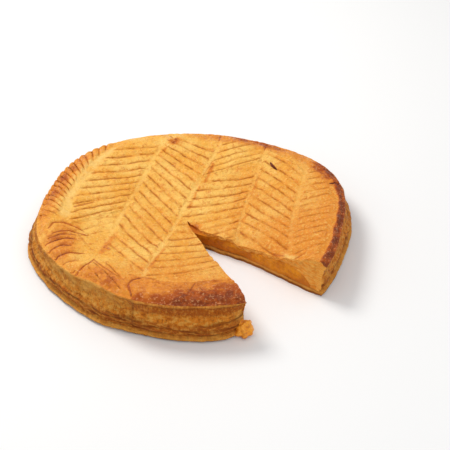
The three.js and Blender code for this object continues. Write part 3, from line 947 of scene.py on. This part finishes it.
def scored_mask(n):
    """The crisp middle of each scored line, from the phase that its points carry."""
    wobble = n.times(n.math("SUBTRACT", n.noise(200, 3), 0.5), 0.1)
    phase = n.math("ADD", n.math("ADD", n.attribute("phase"), wobble), 0.5)
    off = n.math("ABSOLUTE", n.math("SUBTRACT", n.math("FRACT", phase), 0.5))
    line = n.ramp(off, 0.015, 0.11, 1.0, 0.0)
    uneven = n.ramp(n.noise(90, 4), 0.36, 0.6, 0.15, 1.0)
    return n.times(n.times(line, n.attribute("score")), uneven)


def stretched(n, around, up, kind, stretch):
    """Noise over a face, stretched round it and up it, in a plane of its own."""
    return n.noise(*kind, n.vector(n.times(around, stretch[0]), n.times(up, stretch[1]), stretch[2]))


def side_pastry(name, tan, gold):
    """Flaky layers seen from the side: upright fibres above, browned folds below."""
    n = Nodes(name)
    around, up, share = n.attribute("around"), n.attribute("up"), n.attribute("share")
    toast = n.attribute("toast")
    fibres = stretched(n, around, up, (1.0, 4, 0.6), (0.7, 0.16, 0.0))
    layers = stretched(n, around, up, (0.9, 4, 0.6), (0.14, 0.9, 4.0))
    grain = stretched(n, around, up, (0.5, 5, 0.68), (1.0, 1.2, 7.0))
    patch = stretched(n, around, up, (0.26, 3, 0.5), (0.8, 1.3, 11.0))
    blotch = stretched(n, around, up, (0.14, 3, 0.5), (1.0, 1.6, 9.0))
    golden = n.ramp(n.math("ADD", blotch, n.attribute("golden")), 0.5, 0.85)
    colour = n.mix(golden, tan, gold)
    colour = n.mix(n.ramp(patch, 0.5, 0.6, 0.0, 0.75), colour, CREAM)
    upper = n.times(n.ramp(share, 0.6, 0.72), n.ramp(fibres, 0.38, 0.58, 0.5, 1.6))
    colour = n.mix(n.times(upper, toast, clamp=True), colour, SIDE_BROWN)
    folds = n.times(n.ramp(share, 0.32, 0.48, 1.0, 0.0), n.ramp(patch, 0.4, 0.56, 1.0, 0.2))
    colour = n.mix(n.times(folds, 0.85), colour, SIDE_BROWN)
    colour = n.cover(
        colour,
        (patch, 0.32, 0.44, 0.8, 0.0, SIDE_BROWN),
        (fibres, 0.5, 0.66, 0.0, 0.6, SIDE_BROWN),
        (grain, 0.54, 0.66, 0.0, 0.5, SIDE_DARK),
    )
    low = n.times(n.ramp(share, 0.2, 0.45, 1.0, 0.15), n.ramp(blotch, 0.4, 0.6, 0.5, 1.0))
    colour = n.mix(n.times(n.ramp(layers, 0.42, 0.58, 0.0, 0.9), low), colour, SIDE_BROWN)
    colour = n.mix(n.ramp(grain, 0.35, 0.46, 0.5, 0.0), colour, CREAM)
    colour = n.mix(n.times(n.attribute("pale"), 1.0, clamp=True), colour, KHAKI)
    # painted shade: the side's folds, its seam and the line below the lip darkened in the colour
    crease = n.times(n.attribute("crease"), n.ramp(blotch, 0.36, 0.56, 0.5, 0.95))
    colour = n.mix(crease, colour, SIDE_DARK)
    colour = n.mix(n.attribute("edge"), colour, EDGE_TAN)
    height = n.math("ADD", n.math("ADD", fibres, layers), n.times(grain, 1.6))
    return n.dress(colour, 0.6, 0.12, height, 0.002, 0.9)


def cut_pastry():
    """The lid where it is cut: golden skin over pale leaves."""
    n = Nodes("cut_leaves")
    up, out = n.attribute("up"), n.attribute("out")
    leaves = stretched(n, out, up, (1.1, 4, 0.6), (0.14, 1.0, 2.0))
    grain = n.noise(330, 4, 0.65)
    colour = n.cover(
        SIDE_GOLD,
        (leaves, 0.4, 0.58, 0.0, 1.0, CREAM),
        (leaves, 0.58, 0.7, 0.0, 0.3, SIDE_BROWN),
        (grain, 0.5, 0.64, 0.0, 0.3, SIDE_BROWN),
        (out, 9.0, 19.0, 0.9, 0.0, CARAMEL),
    )
    return n.dress(colour, 0.6, 0.12, n.math("ADD", leaves, grain))


def torn_lump():
    """Puffed leaves at the near cut: bright orange yellow with brown hollows."""
    n = Nodes("torn_leaves")
    grain = n.noise(300, 4, 0.65)
    colour = n.cover(
        LUMP_LIGHT,
        (grain, 0.48, 0.68, 0.0, 1.0, ORANGE),
        (n.noise(120, 4), 0.5, 0.68, 0.0, 0.7, SIDE_BROWN),
        # darker at the bottom: partly the browned leaf under the lump, partly painted shadow beneath it
        (n.attribute("up"), 1.5, 4.2, 0.9, 0.0, SIDE_BROWN),
    )
    return n.dress(colour, 0.5, 0.5, grain)


def almond_filling():
    """Baked almond cream: ochre, browner towards the base."""
    n = Nodes("almond_cream")
    grain = n.noise(330, 5, 0.7)
    colour = n.cover(
        FILLING_LIGHT,
        (n.noise(60, 4), 0.4, 0.62, 0.0, 1.0, FILLING_DARK),
        (n.attribute("up"), 5.0, 10.0, 0.75, 0.0, FILLING_DARK),
        (grain, 0.46, 0.64, 0.0, 0.6, FILLING_DARK),
        (n.attribute("out"), 11.0, 17.0, 0.8, 0.0, CARAMEL),
    )
    return n.dress(colour, 0.5, 0.15, grain)


def angle_of(p):
    return np.arctan2(p[:, 1], p[:, 0])


def around_of(p):
    return angle_of(p) * SIDE_ARC


def out_of(p):
    return np.hypot(p[:, 0], p[:, 1])


def up_of(p):
    return p[:, 2]


def side_share(p):
    """How far up the side a point lies, 0 at the foot and 1 at the lip."""
    return (p[:, 2] - LID_FOOT) / (lip_height(angle_of(p)) - LID_FOOT)


def painted_crease_shade(p):
    """Painted shade in the folds round the side and at the seam, and in front the thin painted shadow
    below the lip.
    """
    angle = angle_of(p)
    front = smooth(-120, -112, np.degrees(angle)) * (np.degrees(angle) < -50)
    shadow_below_lip = 0.8 * front * bump(p[:, 2], lip_height(angle) - 2.3, 0.6)
    seam_shade = 0.7 * bump(turn_from(angle, SEAM_AT) + 0.3 * line_noise(p[:, 2], 3, 70), 0, 0.45)
    return np.maximum.reduce([side_creases(around_of(p), p[:, 2]), shadow_below_lip, seam_shade])


def toasted_side(p):
    """How brown the side is: most in the front, least at the left."""
    angle = angle_of(p)
    front = smooth(-115, -106, np.degrees(angle)) * (np.degrees(angle) < -40)
    return np.clip(0.28 + 0.5 * front + 0.2 * noise(around_of(p), p[:, 2] * 2, 17, 66), 0, 1)


def golden_side(p):
    """How golden the side is, most at the right."""
    return 0.35 * toasted_side(p) + 0.3 * bump(turn_from(angle_of(p), 0), 0, 60)


def pale_side(p):
    """Pale khaki leaves just below the lip at the lower left, and in the hollow at the near cut."""
    angle = angle_of(p)
    high = smooth(0.5, 0.8, side_share(p))
    ragged = 0.6 + 0.6 * noise(around_of(p), p[:, 2], 7, 69)
    near_cut = bump(turn_from(angle, NEAR_CUT), 0, HOLLOW_SPREAD) * bump(side_share(p), 0.42, 0.2)
    return np.maximum(0.85 * bump(turn_from(angle, -134), 0, 17) * high * ragged, 0.8 * near_cut)


def lip_edge(p):
    """The pale edge where the top meets the side."""
    angle = angle_of(p)
    inside = lip_radius(angle) - out_of(p)
    turn = np.degrees(angle)
    front = smooth(-150, -130, turn) * (turn < -50)
    worn = 0.6 + 0.4 * line_noise(around_of(p), 5, 67)
    at_lip = bump(p[:, 2], lip_height(angle) - 0.6, 0.6) * (inside < 1.0)
    return 0.85 * front * worn * at_lip


def on_top(values):
    """A function of the place seen from above, as one of the points."""
    return lambda p: values(p[:, 0], p[:, 1])


def shaded_score(x, y):
    """The soft darkening to both sides of each scored line."""
    phase, strength = scored_lines(x, y)
    off = np.abs((phase + phase_wobble(x, y) + 0.5) % 1 - 0.5)
    return strength * (1 - smooth(0.04, 0.3, off))


# The torn lump at the near cut
LUMP_PLACE = np.array([46.2, -125.0, 7.2])
LUMP_RADII = np.array([6.4, 5.6, 6.4])
LUMP_POWER = 0.75  # below 1 makes it boxier than a ball
LUMP_SPACING = 0.65
LUMP_FOOT_SPREAD = 2.6  # of the browned leaf under it
LUMP_FOOT_SHIFT = np.array([-2.0, -0.6])


def lump_arrays():
    """A torn lump of pastry that sticks out of the near cut at the rim, as a closed ball."""
    rows = int(math.pi * LUMP_RADII[0] / LUMP_SPACING)
    count = 2 * rows
    across = np.linspace(0, math.pi, rows + 1)[1:-1, None]
    around = np.linspace(0, 2 * math.pi, count, endpoint=False)[None, :]
    wide, high = np.sin(across), np.cos(across)
    ball = np.stack([wide * np.cos(around), wide * np.sin(around), high + 0 * around], -1)
    ball = np.concatenate([[[0, 0, 1]], ball.reshape(-1, 3), [[0, 0, -1]]])
    ball = np.sign(ball) * np.abs(ball) ** LUMP_POWER
    rough = 0.20 * noise(7 * ball[:, 0] + 3 * ball[:, 2], 7 * ball[:, 1], 3.4, 401)
    rough = rough + 0.11 * noise(7 * ball[:, 0], 7 * ball[:, 1] + 5 * ball[:, 2], 1.6, 402)
    points = LUMP_PLACE + ball * LUMP_RADII * (0.93 + rough)[:, None]
    low = 1 - smooth(1.0, 5.0, points[:, 2])
    points[:, :2] += low[:, None] * (LUMP_FOOT_SPREAD * ball[:, :2] + LUMP_FOOT_SHIFT)
    faces = []
    for i in range(count):
        after = (i + 1) % count
        faces.append((0, 1 + i, 1 + after))
        for row in range(rows - 2):
            a, b = 1 + row * count, 1 + (row + 1) * count
            faces.append((a + i, b + i, b + after))
            faces.append((a + i, b + after, a + after))
        last = 1 + (rows - 2) * count
        faces.append((last + i, len(points) - 1, last + after))
    return points, np.array(faces), np.full(len(faces), LUMP)


def joined(first, second):
    """Two sets of points and faces as one."""
    points = np.concatenate([first[0], second[0]])
    faces = np.concatenate([first[1], second[1] + len(first[0])])
    return points, faces, np.concatenate([first[2], second[2]])


def make_lid():
    layer = CutRound(
        TORN_START, (lip_radius, foot_radius), (lid_upper, lid_under), lid_wall,
        0.9, 100, (SPACING, UNDER_SPACING), WALL_ROWS,
    )
    attributes = {
        "phase": on_top(lambda x, y: scored_lines(x, y)[0] + phase_wobble(x, y)),
        "score": on_top(lambda x, y: scored_lines(x, y)[1]),
        "shade": on_top(shaded_score),
        "near_mark": on_top(lambda x, y: marks(x, y)[1]),
        "mark_tone": on_top(lambda x, y: marks(x, y)[2]),
        "spine": on_top(spine_strength),
        "brown": on_top(browning),
        "warm": on_top(warmth),
        "around": around_of,
        "out": out_of,
        "up": up_of,
        "share": side_share,
        "toast": toasted_side,
        "golden": golden_side,
        "pale": pale_side,
        # painted shade in the side's folds, at its seam and below the lip
        "crease": painted_crease_shade,
        "edge": lip_edge,
    }
    side = side_pastry("side_pastry", SIDE_TAN, SIDE_GOLD)
    materials = [glazed_top(), side, cut_pastry(), torn_lump()]
    arrays = joined(layer.arrays(), lump_arrays())
    make_piece("galette_lid", arrays, "lid", materials, attributes)


def make_filling():
    layer = CutRound(
        CUT_START, (filling_outline, filling_outline), (filling_upper, flat_foot), filling_wall,
        0.8, 200, (FILLING_SPACING, UNDER_SPACING), FILLING_ROWS,
    )
    attributes = {"up": up_of, "out": out_of}
    materials = [almond_filling()]
    make_piece("galette_filling", layer.arrays(), "filling", materials, attributes)


def painted_base_shade(p):
    """Painted shade: the dark line above the base's edge, and the painted shadow along its foot."""
    return np.maximum(bump(p[:, 2], BASE_TOP, 0.7), 0.9 * (1 - smooth(1.9, 3.0, p[:, 2])))


def make_base():
    layer = CutRound(
        CUT_START, (base_edge, base_edge), (base_upper, base_under), base_wall,
        0.6, 300, (BASE_SPACING, BASE_UNDER_SPACING), BASE_ROWS,
    )
    attributes = {
        "around": around_of,
        "up": up_of,
        "share": lambda p: 0.6 + 0 * up_of(p),
        "toast": lambda p: 0.2 + 0.3 * noise(around_of(p), up_of(p), 14, 68),
        "golden": lambda p: 0.2 + 0 * up_of(p),
        "pale": lambda p: 0 * up_of(p),
        # painted shade at the base's top and painted shadow along its foot
        "crease": painted_base_shade,
        "edge": lambda p: 0.5 * bump(up_of(p), 3.2, 1.1),
    }
    material = side_pastry("base_pastry", BASE_TAN, BASE_GOLD)
    make_piece("galette_base", layer.arrays(), "base", [material], attributes)


FLOOR_HALF = 6.0  # metres


def make_floor():
    mesh = bpy.data.meshes.new("floor")
    corners = [(-1, -1), (1, -1), (1, 1), (-1, 1)]
    mesh.from_pydata([(FLOOR_HALF * x, FLOOR_HALF * y, 0) for x, y in corners], [], [(0, 1, 2, 3)])
    floor = new_object("floor", mesh)
    n = Nodes("floor_white")
    colour = n.mix(n.noise(3, 2), (0.90, 0.90, 0.90), (0.92, 0.92, 0.92))
    mesh.materials.append(n.dress(colour, 0.9, 0.1))


def area_light(name, place, size, power, colour=(1, 1, 1)):
    """A round lamp at a place in metres that shines at the frame's origin."""
    lamp = bpy.data.lights.new(name, "AREA")
    lamp.shape = "DISK"
    lamp.size = size
    lamp.energy = power
    lamp.color = colour
    light = new_object(name, lamp)
    light.location = place
    light.rotation_euler = (-Vector(place)).to_track_quat("-Z", "Y").to_euler()


def make_light():
    world = bpy.data.worlds.new("studio")
    world.use_nodes = True
    background = world.node_tree.nodes["Background"]
    background.inputs["Color"].default_value = (1, 1, 1, 1)
    background.inputs["Strength"].default_value = 0.62
    bpy.context.scene.world = world
    area_light("key", (-0.55, 0.45, 0.95), 0.5, 8.3, (1, 0.98, 0.95))
    area_light("fill", (0.5, -0.9, 0.8), 0.8, 2.5)


# The camera, fitted to the view, in the same frame as the shapes
CAMERA_PLACE = np.array([30.5576, -914.1379, 697.8374])
CAMERA_LOOK = np.array([0.0, 0.80073137, -0.5990236])
FIELD_OF_VIEW = 19.119  # degrees across the picture
SENSOR = 36


def make_camera():
    camera = bpy.data.cameras.new("camera")
    camera.sensor_width = SENSOR
    camera.lens = SENSOR / 2 / math.tan(math.radians(FIELD_OF_VIEW / 2))
    camera.clip_end = 20
    shot = new_object("camera", camera)
    shot.location = (CAMERA_PLACE + SHIFT) * MM
    shot.rotation_euler = Vector(CAMERA_LOOK).to_track_quat("-Z", "Y").to_euler()
    bpy.context.scene.camera = shot


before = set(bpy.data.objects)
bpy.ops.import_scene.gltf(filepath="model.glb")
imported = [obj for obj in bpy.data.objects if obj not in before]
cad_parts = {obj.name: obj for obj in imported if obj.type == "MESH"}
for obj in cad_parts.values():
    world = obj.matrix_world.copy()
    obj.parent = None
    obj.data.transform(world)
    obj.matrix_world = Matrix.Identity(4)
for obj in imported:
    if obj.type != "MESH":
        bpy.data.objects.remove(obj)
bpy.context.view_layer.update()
make_camera()
make_light()
make_floor()
make_lid()
make_filling()
make_base()
bpy.context.scene.view_settings.view_transform = "Standard"
